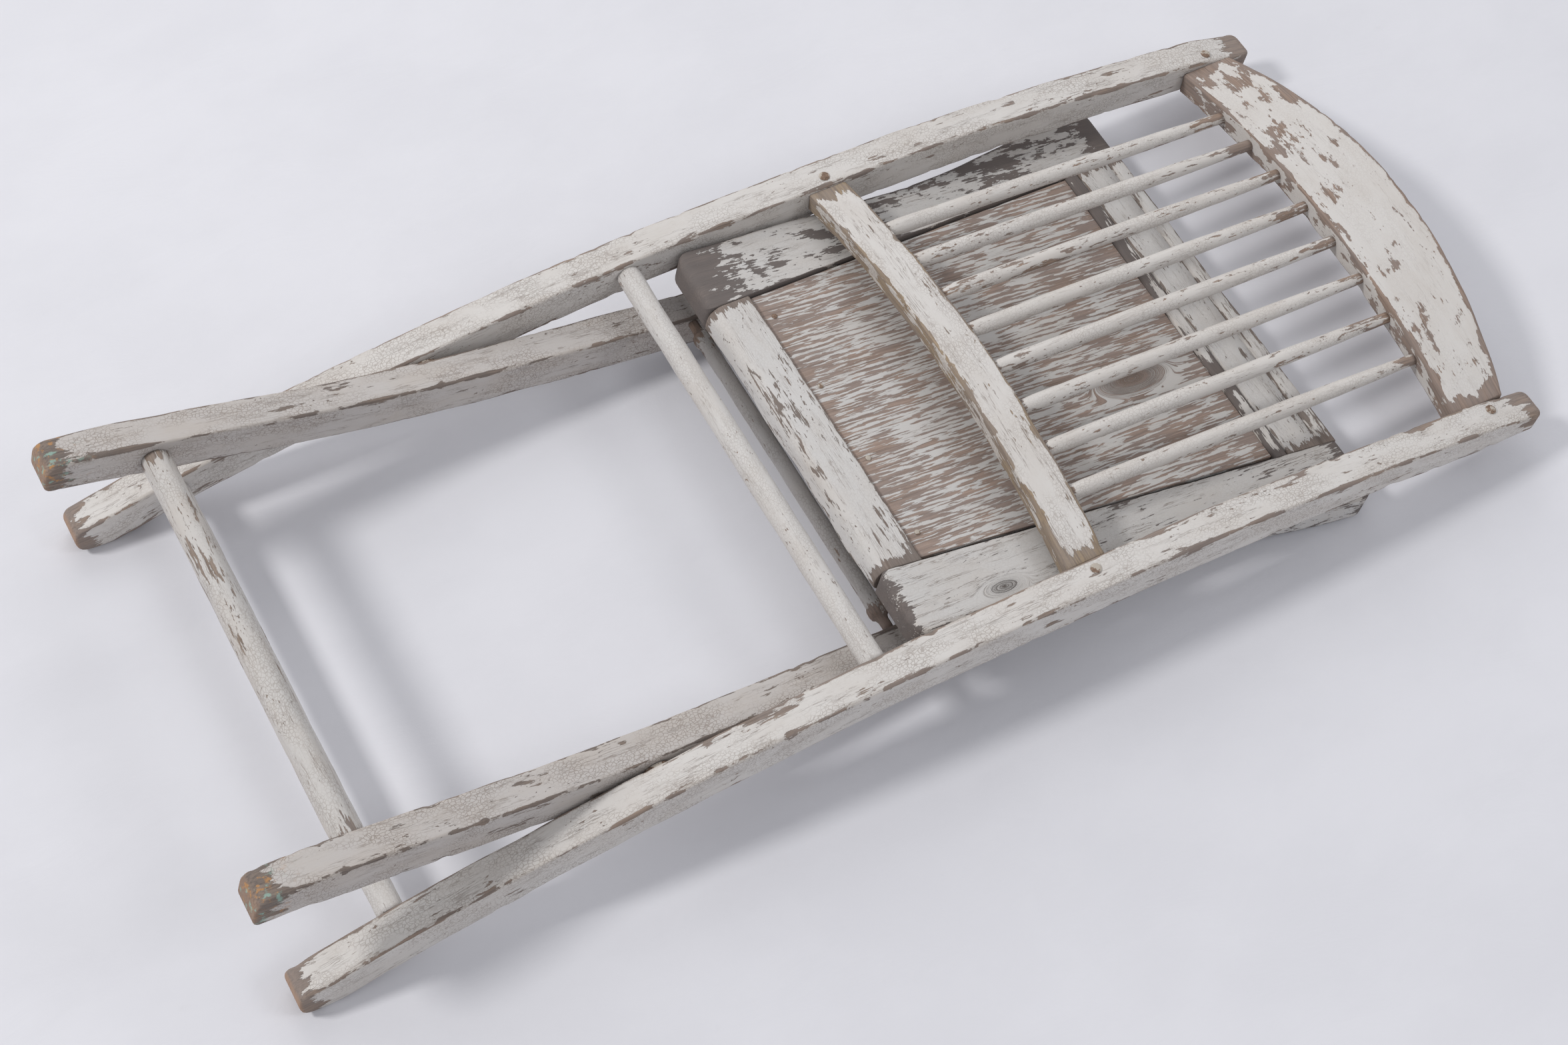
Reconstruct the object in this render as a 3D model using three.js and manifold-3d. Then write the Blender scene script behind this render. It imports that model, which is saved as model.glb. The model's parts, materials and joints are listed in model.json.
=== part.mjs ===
// Folding wooden garden chair, folded flat and lying face down, built as separate pieces.
// Millimetres, +Z up, +X from the feet to the crest rail, +Y to the sitter's left.
import * as THREE from 'three';
import { mergeVertices } from 'three/addons/utils/BufferGeometryUtils.js';
import Module from 'manifold-3d';

const wasm = await Module();
wasm.setup();

// ---- driving dimensions -------------------------------------------------------------------
const GAP = 0.3;                       // clearance where two pieces meet
const SHOULDER_GAP = 0.8;              // the same for a spindle's shoulder, which meets its rail aslant
const LENGTH = 981;                    // stile foot to stile tip, folded
const ORIGIN_X = 484.5;                 // stile-foot distance of the model's origin

const STILE_OUTER = 205;               // half width over the two stiles
const STILE_WIDTH = 25;
const STILE_DEPTH = 31;
const STILE_NECK_DEPTH = 26;            // under the crest rail
const STILE_TIP_DEPTH = 17;
const STILE_FOOT_DEPTH = 21;
const STILE_INNER = STILE_OUTER - STILE_WIDTH;

const LEG_OUTER = 185.5;               // half width over the leg feet
const LEG_SPLAY = 0.035;               // the leg frame narrows by this much per mm towards its top
const LEG_WIDTH = 25;
const LEG_DEPTH = 31;
const LEG_END_DEPTH = 26;

const LEG_PIVOT = [266, 57.8];         // [x, z] of the pins that join legs and stiles
const SEAT_PIVOT = [500, 62.44];       // [x, z] of the pins that join seat and stiles
const SEAT_TILT = 0.1493;              // radians, the folded seat's fall towards its front edge

const SEAT_REAR = -40;                 // seat outline, measured from the seat pivot
const SEAT_FRONT = 340;
const SEAT_THICK = 24;
const SEAT_INNER_REAR = 122;           // half width between the side rails, at the rear edge
const SEAT_INNER_FLARE = 0.0684;
const SEAT_REAR_OUTER = 177.5;         // half width where the seat passes between the stiles
const SEAT_FRONT_OUTER = 200;
const REAR_RAIL_EDGE = -5;
const BEAD_EDGE = 286;
const FRONT_RAIL_EDGE = 297;

const CREST_EDGE = 913;                // straight lower edge of the crest rail
const CREST_END = 957;
const CREST_RISE = 25;                 // how far its outer edge arches past its ends
const CREST_THICK = 21;
const CREST_BOW = 28.6;                // how far its middle stands proud of its ends
const CREST_Z = 36.9;

const RAIL_X = 591.5;                  // lower back rail, centre of its ends
const RAIL_WIDTH = 31;
const RAIL_THICK = 17;
const RAIL_BOW = 15;
const RAIL_SWEEP = 8;
const RAIL_Z = 74.5;

const SPINDLES = 8;
const SPINDLE_PITCH = 36.3;
const SPINDLE_R = 6;
const SPINDLE_END_R = 4.2;
const TENON_R = 3.6;
const TENON = 9;

const UPPER_STRETCHER = { x: 427, z: 74, r: 9 };
const FOOT_STRETCHER = { x: 75.5, z: 33, r: 9.5 };
const LEG_STRETCHER = { x: 63, z: 109.5, r: 10.5 };
const STRETCHER_TENON_R = 6.5;
const STRETCHER_TENON = 15;
const TOP_ROD = { x: 462.5, z: 36.5, r: 6, half: 121, knobR: 7.4, knobEnd: 132, neckR: 4, tenonR: 2.8 };

// ---- materials ----------------------------------------------------------------------------
const paint = (color, roughness = 0.75) => new THREE.MeshStandardMaterial({ color, roughness });
const paintedWood = paint(0xcdc7c0);
const paintedRail = paint(0xc4bdb5);
const wornPanel = paint(0xa3968a, 0.85);
const bareWood = paint(0x8d837a, 0.9);
const rustyIron = new THREE.MeshStandardMaterial({ color: 0x6b4a38, roughness: 0.8, metalness: 0.6 });

const chair = new THREE.Group();
const frame = new THREE.Group();
frame.position.x = -ORIGIN_X;
chair.add(frame);

function piece(parent, name, geometry, material) {
  const mesh = new THREE.Mesh(geometry, material);
  mesh.name = name;
  parent.add(mesh);
  return mesh;
}

// ---- solid helpers ------------------------------------------------------------------------
function toSolid(geometry) {
  const bare = geometry.index ? geometry.toNonIndexed() : geometry.clone();
  bare.deleteAttribute('normal');
  bare.deleteAttribute('uv');
  const merged = mergeVertices(bare, 1e-4);
  return new wasm.Manifold(new wasm.Mesh({
    numProp: 3,
    vertProperties: new Float32Array(merged.attributes.position.array),
    triVerts: new Uint32Array(merged.index.array),
  }));
}

function toGeometry(solid) {
  const mesh = solid.getMesh();
  const geometry = new THREE.BufferGeometry();
  geometry.setAttribute('position', new THREE.BufferAttribute(new Float32Array(mesh.vertProperties), 3));
  geometry.setIndex(new THREE.BufferAttribute(new Uint32Array(mesh.triVerts), 1));
  return geometry;
}

function cut(geometry, tools) {
  let solid = toSolid(geometry);
  for (const tool of tools) {
    solid = solid.subtract(toSolid(tool));
  }
  return toGeometry(solid);
}

// A closed side profile [x, z] sawn from a board that lies between y = low and y = high.
function sawn(points, low, high) {
  const shape = new THREE.Shape(points.map(([x, z]) => new THREE.Vector2(x, z)));
  const geometry = new THREE.ExtrudeGeometry(shape, { depth: high - low, bevelEnabled: false, steps: 1 });
  geometry.rotateX(Math.PI / 2);
  geometry.translate(0, high, 0);
  return geometry;
}

// A closed plan outline [x, y] given a thickness from z = low to z = high.
function slab(points, low, high) {
  const shape = new THREE.Shape(points.map(([x, y]) => new THREE.Vector2(x, y)));
  const geometry = new THREE.ExtrudeGeometry(shape, { depth: high - low, bevelEnabled: false, steps: 1 });
  geometry.translate(0, 0, low);
  return geometry;
}

// A round bar through a list of [distance, radius] steps, turned about the line from a to b.
function turned(steps, a, b, sides = 12) {
  const start = new THREE.Vector3(...a);
  const axis = new THREE.Vector3(...b).sub(start).normalize();
  const first = new THREE.Vector2(0, steps[0][0]);
  const last = new THREE.Vector2(0, steps[steps.length - 1][0]);
  const profile = [first, ...steps.map(([d, r]) => new THREE.Vector2(r, d)), last];
  const geometry = new THREE.LatheGeometry(profile, sides);
  geometry.applyQuaternion(new THREE.Quaternion().setFromUnitVectors(new THREE.Vector3(0, 1, 0), axis));
  geometry.translate(start.x, start.y, start.z);
  return geometry;
}

const BORE_SIDES = 24;

function crossBar(x, z, radius, low, high, sides = BORE_SIDES) {
  return turned([[0, radius], [high - low, radius]], [x, low, z], [x, high, z], sides);
}

// The outline of a bent bar: a centre line with the given depth, and two end treatments.
function bentBar(centre, depthAt, steps, roundStart, roundEnd) {
  const curve = new THREE.SplineCurve(centre.map(([x, z]) => new THREE.Vector2(x, z)));
  const upper = [];
  const lower = [];
  for (let i = 0; i <= steps; i += 1) {
    const point = curve.getPoint(i / steps);
    const tangent = curve.getTangent(i / steps);
    const half = depthAt(point.x) / 2;
    upper.push([point.x - tangent.y * half, point.y + tangent.x * half]);
    lower.push([point.x + tangent.y * half, point.y - tangent.x * half]);
  }
  const nose = (t, sign) => {
    const point = curve.getPoint(t);
    const tangent = curve.getTangent(t);
    const half = depthAt(point.x) / 2;
    const arc = [];
    for (let k = 1; k < 6; k += 1) {
      const angle = Math.PI * k / 6;
      const along = Math.sin(angle) * half * sign;
      const across = Math.cos(angle) * half * -sign;
      arc.push([point.x + tangent.x * along - tangent.y * across, point.y + tangent.y * along + tangent.x * across]);
    }
    return arc;
  };
  const endArc = roundEnd ? nose(1, 1) : [];
  const startArc = roundStart ? nose(0, -1) : [];
  return [...lower, ...endArc, ...upper.reverse(), ...startArc];
}

const ease = (value, low, high) => THREE.MathUtils.smoothstep(value, low, high);

// ---- back frame ---------------------------------------------------------------------------
const STILE_LINE = [[0, 13.6], [30, 15.9], [65, 25.4], [118, 36.5], [200, 50], [300, 61.5], [420, 70.3],
  [560, 70.5], [700, 65.5], [820, 53.5], [920, 40], [LENGTH - STILE_TIP_DEPTH / 2, 32]];

function stileDepth(x) {
  const foot = STILE_FOOT_DEPTH + (STILE_DEPTH - STILE_FOOT_DEPTH) * ease(x, -8, 32);
  const neck = foot - (STILE_DEPTH - STILE_NECK_DEPTH) * ease(x, 650, 980);
  return neck - (STILE_NECK_DEPTH - STILE_TIP_DEPTH) * ease(x, 920, LENGTH - STILE_TIP_DEPTH / 2);
}

const lowerRailZ = (y) => RAIL_Z + RAIL_BOW * (1 - (y / STILE_INNER) ** 2);
const lowerRailX = (y) => RAIL_X + RAIL_SWEEP * (1 - (y / STILE_INNER) ** 2);
const crestZ = (y) => CREST_Z + CREST_BOW * (1 - (y / STILE_INNER) ** 2);

// A rail bent across the chair: edges given as x(y), centre height as z(y), ends at +-half.
function bowedRail(nearEdge, farEdge, centreZ, thickness, half, steps) {
  const positions = [];
  const index = [];
  for (let i = 0; i <= steps; i += 1) {
    const y = -half + 2 * half * i / steps;
    const x0 = nearEdge(y);
    const x1 = farEdge(y);
    const z = centreZ(y);
    positions.push(x0, y, z - thickness / 2, x1, y, z - thickness / 2);
    positions.push(x1, y, z + thickness / 2, x0, y, z + thickness / 2);
  }
  for (let i = 0; i < steps; i += 1) {
    for (let k = 0; k < 4; k += 1) {
      const a = 4 * i + k;
      const b = 4 * i + (k + 1) % 4;
      index.push(a, a + 4, b + 4, a, b + 4, b);
    }
  }
  const last = 4 * steps;
  index.push(0, 1, 2, 0, 2, 3, last, last + 2, last + 1, last, last + 3, last + 2);
  const geometry = new THREE.BufferGeometry();
  geometry.setAttribute('position', new THREE.Float32BufferAttribute(positions, 3));
  geometry.setIndex(index);
  return geometry;
}

const spindleYs = Array.from({ length: SPINDLES }, (_, i) => ((SPINDLES - 1) / 2 - i) * SPINDLE_PITCH);
const railFace = (y) => lowerRailX(y) + RAIL_WIDTH / 2;

function spindleEnds(y) {
  return [[railFace(y) + SHOULDER_GAP, y, lowerRailZ(y)], [CREST_EDGE - SHOULDER_GAP, y, crestZ(y)]];
}

function spindle(y, clearance = 0) {
  const [a, b] = spindleEnds(y);
  const span = Math.hypot(b[0] - a[0], b[2] - a[2]);
  const tenonR = TENON_R + clearance;
  const reach = TENON + clearance;
  if (clearance > 0) {
    return turned([[-reach, tenonR], [span + reach, tenonR]], a, b, 8);
  }
  return turned([[-reach, tenonR], [0, tenonR], [0, SPINDLE_R - 0.8], [12, SPINDLE_R], [span * 0.62, SPINDLE_R],
    [span * 0.82, SPINDLE_R - 0.7], [span * 0.94, SPINDLE_END_R + 0.3], [span, SPINDLE_END_R],
    [span, tenonR], [span + reach, tenonR]], a, b, 10);
}

function stretcher({ x, z, r }, half, clearance = 0) {
  const tenonR = STRETCHER_TENON_R + clearance;
  const end = half + STRETCHER_TENON + clearance;
  if (clearance > 0) {
    return turned([[0, tenonR], [2 * end, tenonR]], [x, -end, z], [x, end, z], 12);
  }
  const shoulder = end - half;
  return turned([[0, tenonR], [shoulder, tenonR], [shoulder, r], [shoulder + 2 * half, r],
    [shoulder + 2 * half, tenonR], [2 * end, tenonR]], [x, -end, z], [x, end, z], 14);
}

const STRETCHER_HALF = STILE_INNER - GAP;
const stileSockets = [stretcher(UPPER_STRETCHER, STRETCHER_HALF, GAP), stretcher(FOOT_STRETCHER, STRETCHER_HALF, GAP)];
const PIN_R = 3.5;
const PIN_CLEARANCE = 0.1;
const PIN_END = 199;                   // how far out the pins reach inside the stiles
const JOINT_SCREWS = { crest_screw: 937, rail_screw: 593 };
const SCREW_R = 4;

function stile(side) {
  const low = side > 0 ? STILE_INNER : -STILE_OUTER;
  const bar = sawn(bentBar(STILE_LINE, stileDepth, 30, false, true), low, low + STILE_WIDTH);
  const [start, end] = side > 0 ? [STILE_INNER - 1, PIN_END + GAP] : [-PIN_END - GAP, 1 - STILE_INNER];
  const bores = [LEG_PIVOT, SEAT_PIVOT].map(([x, z]) => crossBar(x, z, PIN_R + PIN_CLEARANCE, start, end));
  return cut(bar, [...stileSockets, ...bores]);
}

// The point and the outward normal on the stile's upper face at x.
function stileFace(x) {
  const curve = new THREE.SplineCurve(STILE_LINE.map(([px, pz]) => new THREE.Vector2(px, pz)));
  let low = 0;
  let high = 1;
  for (let i = 0; i < 30; i += 1) {
    const middle = (low + high) / 2;
    if (curve.getPoint(middle).x < x) low = middle;
    else high = middle;
  }
  const point = curve.getPoint(low);
  const tangent = curve.getTangent(low);
  const half = stileDepth(x) / 2;
  return { x: point.x - tangent.y * half, z: point.y + tangent.x * half, nx: -tangent.y, nz: tangent.x };
}

function screwHead(along, side) {
  const y = side * (STILE_INNER + STILE_WIDTH / 2 - 4);
  const { x, z, nx, nz } = stileFace(along);
  const at = (lift) => [x + nx * lift, y, z + nz * lift];
  return turned([[0, SCREW_R], [0.6, SCREW_R], [1.2, SCREW_R * 0.6]], at(0.15), at(2), 10);
}

const sides = [['left', 1], ['right', -1]];
for (const [word, side] of sides) {
  piece(frame, `stile_${word}`, stile(side), paintedWood);
  for (const [name, place] of Object.entries(JOINT_SCREWS)) {
    piece(frame, `${name}_${word}`, screwHead(place, side), rustyIron);
  }
}

const spindleSockets = spindleYs.map((y) => spindle(y, GAP));
const crestEdge = (y) => CREST_END + CREST_RISE * (1 - (y / STILE_INNER) ** 2);
const crest = bowedRail(() => CREST_EDGE, crestEdge, crestZ, CREST_THICK, STRETCHER_HALF, 18);
const lowerRail = bowedRail((y) => lowerRailX(y) - RAIL_WIDTH / 2, railFace, lowerRailZ, RAIL_THICK, STRETCHER_HALF, 14);
piece(frame, 'crest_rail', cut(crest, spindleSockets), paintedWood);
piece(frame, 'lower_back_rail', cut(lowerRail, spindleSockets), paintedWood);
spindleYs.forEach((y, i) => piece(frame, `spindle_${i + 1}`, spindle(y), paintedWood));
piece(frame, 'upper_stretcher', stretcher(UPPER_STRETCHER, STRETCHER_HALF), paintedWood);
piece(frame, 'stile_foot_stretcher', stretcher(FOOT_STRETCHER, STRETCHER_HALF), paintedWood);

// ---- leg frame ----------------------------------------------------------------------------
const LEG_LINE = [[-10, 128.2], [40, 116.5], [100, 100], [185, 76], [266, 57.8], [336, 45.5], [400, 36],
  [460, 27.2], [492, 23]];
const legOuter = (x) => LEG_OUTER - LEG_SPLAY * x;
const legInner = (x) => legOuter(x) - LEG_WIDTH;
const legDepth = (x) => LEG_END_DEPTH + (LEG_DEPTH - LEG_END_DEPTH) * ease(x, -10, 50);

function splayed(geometry, side) {
  const position = geometry.attributes.position;
  for (let i = 0; i < position.count; i += 1) {
    position.setY(i, position.getY(i) - side * LEG_SPLAY * position.getX(i));
  }
  return geometry;
}

const legStretcherHalf = legInner(LEG_STRETCHER.x + LEG_STRETCHER.r) - GAP;
const legSocket = stretcher(LEG_STRETCHER, legStretcherHalf, GAP);
const ROD_TENON = 14;

function leg(side) {
  const low = side > 0 ? LEG_OUTER - LEG_WIDTH : -LEG_OUTER;
  const bar = splayed(sawn(bentBar(LEG_LINE, legDepth, 24, false, true), low, low + LEG_WIDTH), side);
  const pinBore = crossBar(...LEG_PIVOT, PIN_R + PIN_CLEARANCE, low - 20, low + LEG_WIDTH + 20);
  const rodEnd = legInner(TOP_ROD.x) + ROD_TENON + GAP;
  const rodBore = crossBar(TOP_ROD.x, TOP_ROD.z, TOP_ROD.tenonR + GAP, -rodEnd, rodEnd, 12);
  return cut(bar, [legSocket, pinBore, rodBore]);
}

// The rod between the legs' top ends: a painted bar with a turned knob and a thin neck at each end.
function topRod() {
  const { x, z, r, half, knobR, knobEnd, neckR, tenonR } = TOP_ROD;
  const shoulder = legInner(x + neckR) - GAP;
  const end = legInner(x) + ROD_TENON;
  const steps = [[end, tenonR], [shoulder, tenonR], [shoulder, neckR], [knobEnd + 3, neckR], [knobEnd, knobR - 1],
    [knobEnd - 4, knobR], [half + 3, knobR - 0.6], [half, r]];
  const near = steps.map(([d, radius]) => [end - d, radius]);
  const far = [...steps].reverse().map(([d, radius]) => [end + d, radius]);
  return turned([...near, ...far], [x, -end, z], [x, end, z], 14);
}

function pivotWasher(side) {
  const inner = legOuter(LEG_PIVOT[0] - 12) + GAP;
  const low = side > 0 ? inner : -(STILE_INNER - GAP);
  const thickness = STILE_INNER - GAP - inner;
  const disc = crossBar(...LEG_PIVOT, 11, low, low + thickness);
  return cut(disc, [crossBar(...LEG_PIVOT, PIN_R + PIN_CLEARANCE, low - 1, low + thickness + 1)]);
}

// A plain pin from inside the stile in to y = inner.
function pivotPin([x, z], side, inner) {
  return crossBar(x, z, PIN_R, Math.min(side * inner, side * PIN_END), Math.max(side * inner, side * PIN_END));
}

for (const [word, side] of sides) {
  piece(frame, `leg_${word}`, leg(side), paintedWood);
  piece(frame, `leg_pivot_washer_${word}`, pivotWasher(side), rustyIron);
  piece(frame, `leg_pivot_pin_${word}`, pivotPin(LEG_PIVOT, side, legInner(LEG_PIVOT[0]) + 4), rustyIron);
}
piece(frame, 'leg_foot_stretcher', stretcher(LEG_STRETCHER, legStretcherHalf), paintedWood);
piece(frame, 'leg_top_rod', topRod(), paintedWood);

// ---- seat ---------------------------------------------------------------------------------
// The seat group's origin is the seat pivot: x runs from the hinge to the front edge.
const seat = new THREE.Group();
seat.position.set(SEAT_PIVOT[0], 0, SEAT_PIVOT[1]);
seat.rotation.y = SEAT_TILT;
frame.add(seat);

const TOP = SEAT_THICK / 2;
const seatInner = (x) => SEAT_INNER_REAR + SEAT_INNER_FLARE * (x - SEAT_REAR);
const FLARE_START = 150;               // the side rails widen from here, where they pass under the stiles
const FLARE_END = 345;
const FRONT_CORNER_R = 13;
const REAR_CORNER_R = 12;

const seatOuter = (x) => SEAT_REAR_OUTER + (SEAT_FRONT_OUTER - SEAT_REAR_OUTER) * ease(x, FLARE_START, FLARE_END);

// Points of a quarter circle from one edge to the next, about (cx, cy).
function corner(cx, cy, radius, from, to, steps = 6) {
  return Array.from({ length: steps + 1 }, (_, i) => {
    const angle = from + (to - from) * i / steps;
    return [cx + radius * Math.cos(angle), cy + radius * Math.sin(angle)];
  });
}

function sideRailOutline() {
  const quarter = Math.PI / 2;
  const flareTop = SEAT_FRONT - FRONT_CORNER_R;
  const frontY = seatOuter(flareTop);
  const outline = [[SEAT_REAR, seatInner(SEAT_REAR)], [SEAT_FRONT, seatInner(SEAT_FRONT)]];
  outline.push(...corner(flareTop, frontY - FRONT_CORNER_R, FRONT_CORNER_R, 0, quarter, 7));
  for (let i = 1; i <= 8; i += 1) {
    const x = flareTop - (flareTop - FLARE_START) * i / 8;
    outline.push([x, seatOuter(x)]);
  }
  const rear = corner(SEAT_REAR + REAR_CORNER_R, SEAT_REAR_OUTER - REAR_CORNER_R, REAR_CORNER_R, quarter, 2 * quarter, 5);
  outline.push(...rear);
  return outline;
}

const mirrored = (points) => points.map(([x, y]) => [x, -y]).reverse();

function sideRail(side) {
  const outline = side > 0 ? sideRailOutline() : mirrored(sideRailOutline());
  const board = slab(outline, -TOP, TOP);
  const reach = SEAT_REAR_OUTER - 22;
  const bore = crossBar(0, 0, PIN_R + PIN_CLEARANCE, Math.min(side * reach, side * 190), Math.max(side * reach, side * 190));
  return cut(board, [bore]);
}

// A cross board between the side rails, from x = near to x = far, clear of them by gap.
function crossBoard(near, far, low, high, gap = GAP) {
  const a = seatInner(near) - gap;
  const b = seatInner(far) - gap;
  return slab([[near, -a], [far, -b], [far, b], [near, a]], low, high);
}

const PANEL_TOP = TOP - 3;
const PANEL_THICK = 8;
const PANEL_SIDE_GAP = 2.5;
const PANEL_SHIFT = 1.1;              // the board has shrunk and sits off centre between the side rails
const PANEL_NEAR = REAR_RAIL_EDGE + GAP;
const PANEL_FAR = BEAD_EDGE - GAP;
const BATTENS = { seat_batten_rear: 62, seat_batten_front: 232 };
const BATTEN_WIDTH = 24;
const NAIL_R = 2.2;
const NAILS = 4;
const LEG_STOP = { x: 208, length: 14, inner: 146, outer: 170, drop: 9 };

piece(seat, 'seat_side_rail_left', sideRail(1), paintedRail);
piece(seat, 'seat_side_rail_right', sideRail(-1), paintedRail);
piece(seat, 'seat_rear_rail', crossBoard(SEAT_REAR, REAR_RAIL_EDGE, -TOP, TOP), paintedRail);
piece(seat, 'seat_front_rail', crossBoard(FRONT_RAIL_EDGE, SEAT_FRONT, -TOP, TOP), paintedRail);
piece(seat, 'seat_bead', crossBoard(BEAD_EDGE, FRONT_RAIL_EDGE - GAP, PANEL_TOP - PANEL_THICK, TOP - 0.8), bareWood);
const panel = crossBoard(PANEL_NEAR, PANEL_FAR, PANEL_TOP - PANEL_THICK, PANEL_TOP, PANEL_SIDE_GAP);
panel.translate(0, PANEL_SHIFT, 0);
piece(seat, 'seat_panel', panel, wornPanel);
for (const [name, x] of Object.entries(BATTENS)) {
  const board = crossBoard(x - BATTEN_WIDTH / 2, x + BATTEN_WIDTH / 2, -TOP + 2, PANEL_TOP - PANEL_THICK - GAP);
  piece(seat, name, board, bareWood);
}
for (let i = 0; i < NAILS; i += 1) {
  const y = (i - (NAILS - 1) / 2) * 68;
  const head = turned([[0, NAIL_R], [0.5, NAIL_R], [0.9, NAIL_R * 0.5]], [4, y, PANEL_TOP + 0.05], [4, y, TOP], 8);
  piece(seat, `panel_nail_${i + 1}`, head, rustyIron);
}
for (const [word, side] of sides) {
  const { x, length, inner, outer, drop } = LEG_STOP;
  const [low, high] = side > 0 ? [inner, outer] : [-outer, -inner];
  const block = slab([[x, low], [x + length, low], [x + length, high], [x, high]], -TOP - drop, -TOP - GAP);
  piece(seat, `leg_stop_${word}`, block, bareWood);
  piece(frame, `seat_pivot_pin_${word}`, pivotPin(SEAT_PIVOT, side, SEAT_REAR_OUTER - 20), rustyIron);
}

export default chair;
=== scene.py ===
"""Looks of the folded wooden garden chair: worn, flaking off-white paint on old wood."""

import json
import math

import bmesh
import bpy
import numpy as np
from mathutils import Matrix, Vector, noise

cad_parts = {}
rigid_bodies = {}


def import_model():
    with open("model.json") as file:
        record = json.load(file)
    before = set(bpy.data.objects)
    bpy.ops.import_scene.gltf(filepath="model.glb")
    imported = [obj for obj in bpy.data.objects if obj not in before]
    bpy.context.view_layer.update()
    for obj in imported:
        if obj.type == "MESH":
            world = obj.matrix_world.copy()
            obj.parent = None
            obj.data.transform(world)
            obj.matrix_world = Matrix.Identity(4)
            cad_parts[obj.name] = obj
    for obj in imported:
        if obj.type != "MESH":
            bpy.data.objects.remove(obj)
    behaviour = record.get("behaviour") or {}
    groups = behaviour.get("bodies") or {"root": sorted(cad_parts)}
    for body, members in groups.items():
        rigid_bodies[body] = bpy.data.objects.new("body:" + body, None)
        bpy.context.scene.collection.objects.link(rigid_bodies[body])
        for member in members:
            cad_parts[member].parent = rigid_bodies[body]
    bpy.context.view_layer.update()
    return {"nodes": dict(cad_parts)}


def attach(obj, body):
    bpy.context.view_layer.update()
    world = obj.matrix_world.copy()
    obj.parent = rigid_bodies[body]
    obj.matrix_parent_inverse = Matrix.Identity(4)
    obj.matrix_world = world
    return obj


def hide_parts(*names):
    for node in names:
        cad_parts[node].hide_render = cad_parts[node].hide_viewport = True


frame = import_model()
NODES = frame["nodes"]
MM = 0.001

# ---- dimensions, as in the solids (mm) ------------------------------------------------------
GAP = 0.3
LENGTH = 981.0
ORIGIN_X = 484.5
STILE_OUTER, STILE_WIDTH, STILE_DEPTH = 205.0, 25.0, 31.0
STILE_NECK_DEPTH, STILE_TIP_DEPTH, STILE_FOOT_DEPTH = 26.0, 17.0, 21.0
STILE_INNER = STILE_OUTER - STILE_WIDTH
LEG_OUTER, LEG_SPLAY, LEG_WIDTH = 185.5, 0.035, 25.0
LEG_DEPTH, LEG_END_DEPTH = 31.0, 26.0
SEAT_PIVOT = (500.0, 62.44)
SEAT_TILT = 0.1493
SEAT_REAR, SEAT_FRONT, SEAT_THICK = -40.0, 340.0, 24.0
SEAT_INNER_REAR, SEAT_INNER_FLARE = 122.0, 0.0684
SEAT_REAR_OUTER, SEAT_FRONT_OUTER = 177.5, 200.0
REAR_RAIL_EDGE, BEAD_EDGE, FRONT_RAIL_EDGE = -5.0, 286.0, 297.0
FLARE_START, FLARE_END = 150.0, 345.0
FRONT_CORNER_R, REAR_CORNER_R = 13.0, 12.0
PANEL_NEAR, PANEL_FAR = REAR_RAIL_EDGE + GAP, BEAD_EDGE - GAP
PANEL_LOW, PANEL_HIGH, PANEL_SIDE_GAP, PANEL_SHIFT = 1.0, 9.0, 2.5, 1.1
CREST_EDGE, CREST_END, CREST_RISE = 913.0, 957.0, 25.0
CREST_THICK, CREST_BOW, CREST_Z = 21.0, 28.6, 36.9
RAIL_X, RAIL_WIDTH, RAIL_THICK = 591.5, 31.0, 17.0
RAIL_BOW, RAIL_SWEEP, RAIL_Z = 15.0, 8.0, 74.5
UPPER_BAR, STILE_FOOT_BAR = (427.0, 74.0, 9.0), (75.5, 33.0, 9.5)   # x, z and radius of a stretcher
LEG_FOOT_BAR = (63.0, 109.5, 10.5)
BAR_INTO_STILE, BAR_INTO_LEG = 0.2, 0.5   # how far a stretcher's shown end closes on its neighbour
ROD_X, ROD_Z, ROD_END_R, ROD_NECK_R = 462.5, 36.5, 3.8, 4.0
KNOB = [(136, ROD_NECK_R), (133, 5.0), (131.5, 6.8), (129, 7.4), (125, 7.2), (122.5, 6.2), (120, 5.9)]
SPINDLES, SPINDLE_PITCH, SPINDLE_R, SPINDLE_END_R = 8, 36.3, 6.0, 4.2
STILE_LINE = [(0, 13.6), (30, 15.9), (65, 25.4), (118, 36.5), (200, 50), (300, 61.5), (420, 70.3),
              (560, 70.5), (700, 65.5), (820, 53.5), (920, 40), (LENGTH - STILE_TIP_DEPTH / 2, 32)]
LEG_LINE = [(-10, 128.2), (40, 116.5), (100, 100), (185, 76), (266, 57.8), (336, 45.5), (400, 36),
            (460, 27.2), (492, 23)]
TOP = SEAT_THICK / 2
OPEN_ANGLE, OPEN_DROP, OPEN_TILT = math.radians(98), 401.5, math.radians(11.7)
FLOOR_HALF, FLOOR_DROP = 6.0, 0.0004      # metres
MIX_A, MIX_B, MIX_RESULT = 6, 7, 2        # a Mix node's colour sockets


def ease(value, low, high):
    t = min(1.0, max(0.0, (value - low) / (high - low)))
    return t * t * (3 - 2 * t)


def lower_rail_z(y):
    return RAIL_Z + RAIL_BOW * (1 - (y / STILE_INNER) ** 2)


def lower_rail_x(y):
    return RAIL_X + RAIL_SWEEP * (1 - (y / STILE_INNER) ** 2)


def crest_z(y):
    return CREST_Z + CREST_BOW * (1 - (y / STILE_INNER) ** 2)


def crest_edge(y):
    return CREST_END + CREST_RISE * (1 - (y / STILE_INNER) ** 2)


def seat_inner(u):
    return SEAT_INNER_REAR + SEAT_INNER_FLARE * (u - SEAT_REAR)


def leg_outer(x):
    return LEG_OUTER - LEG_SPLAY * x


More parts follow.
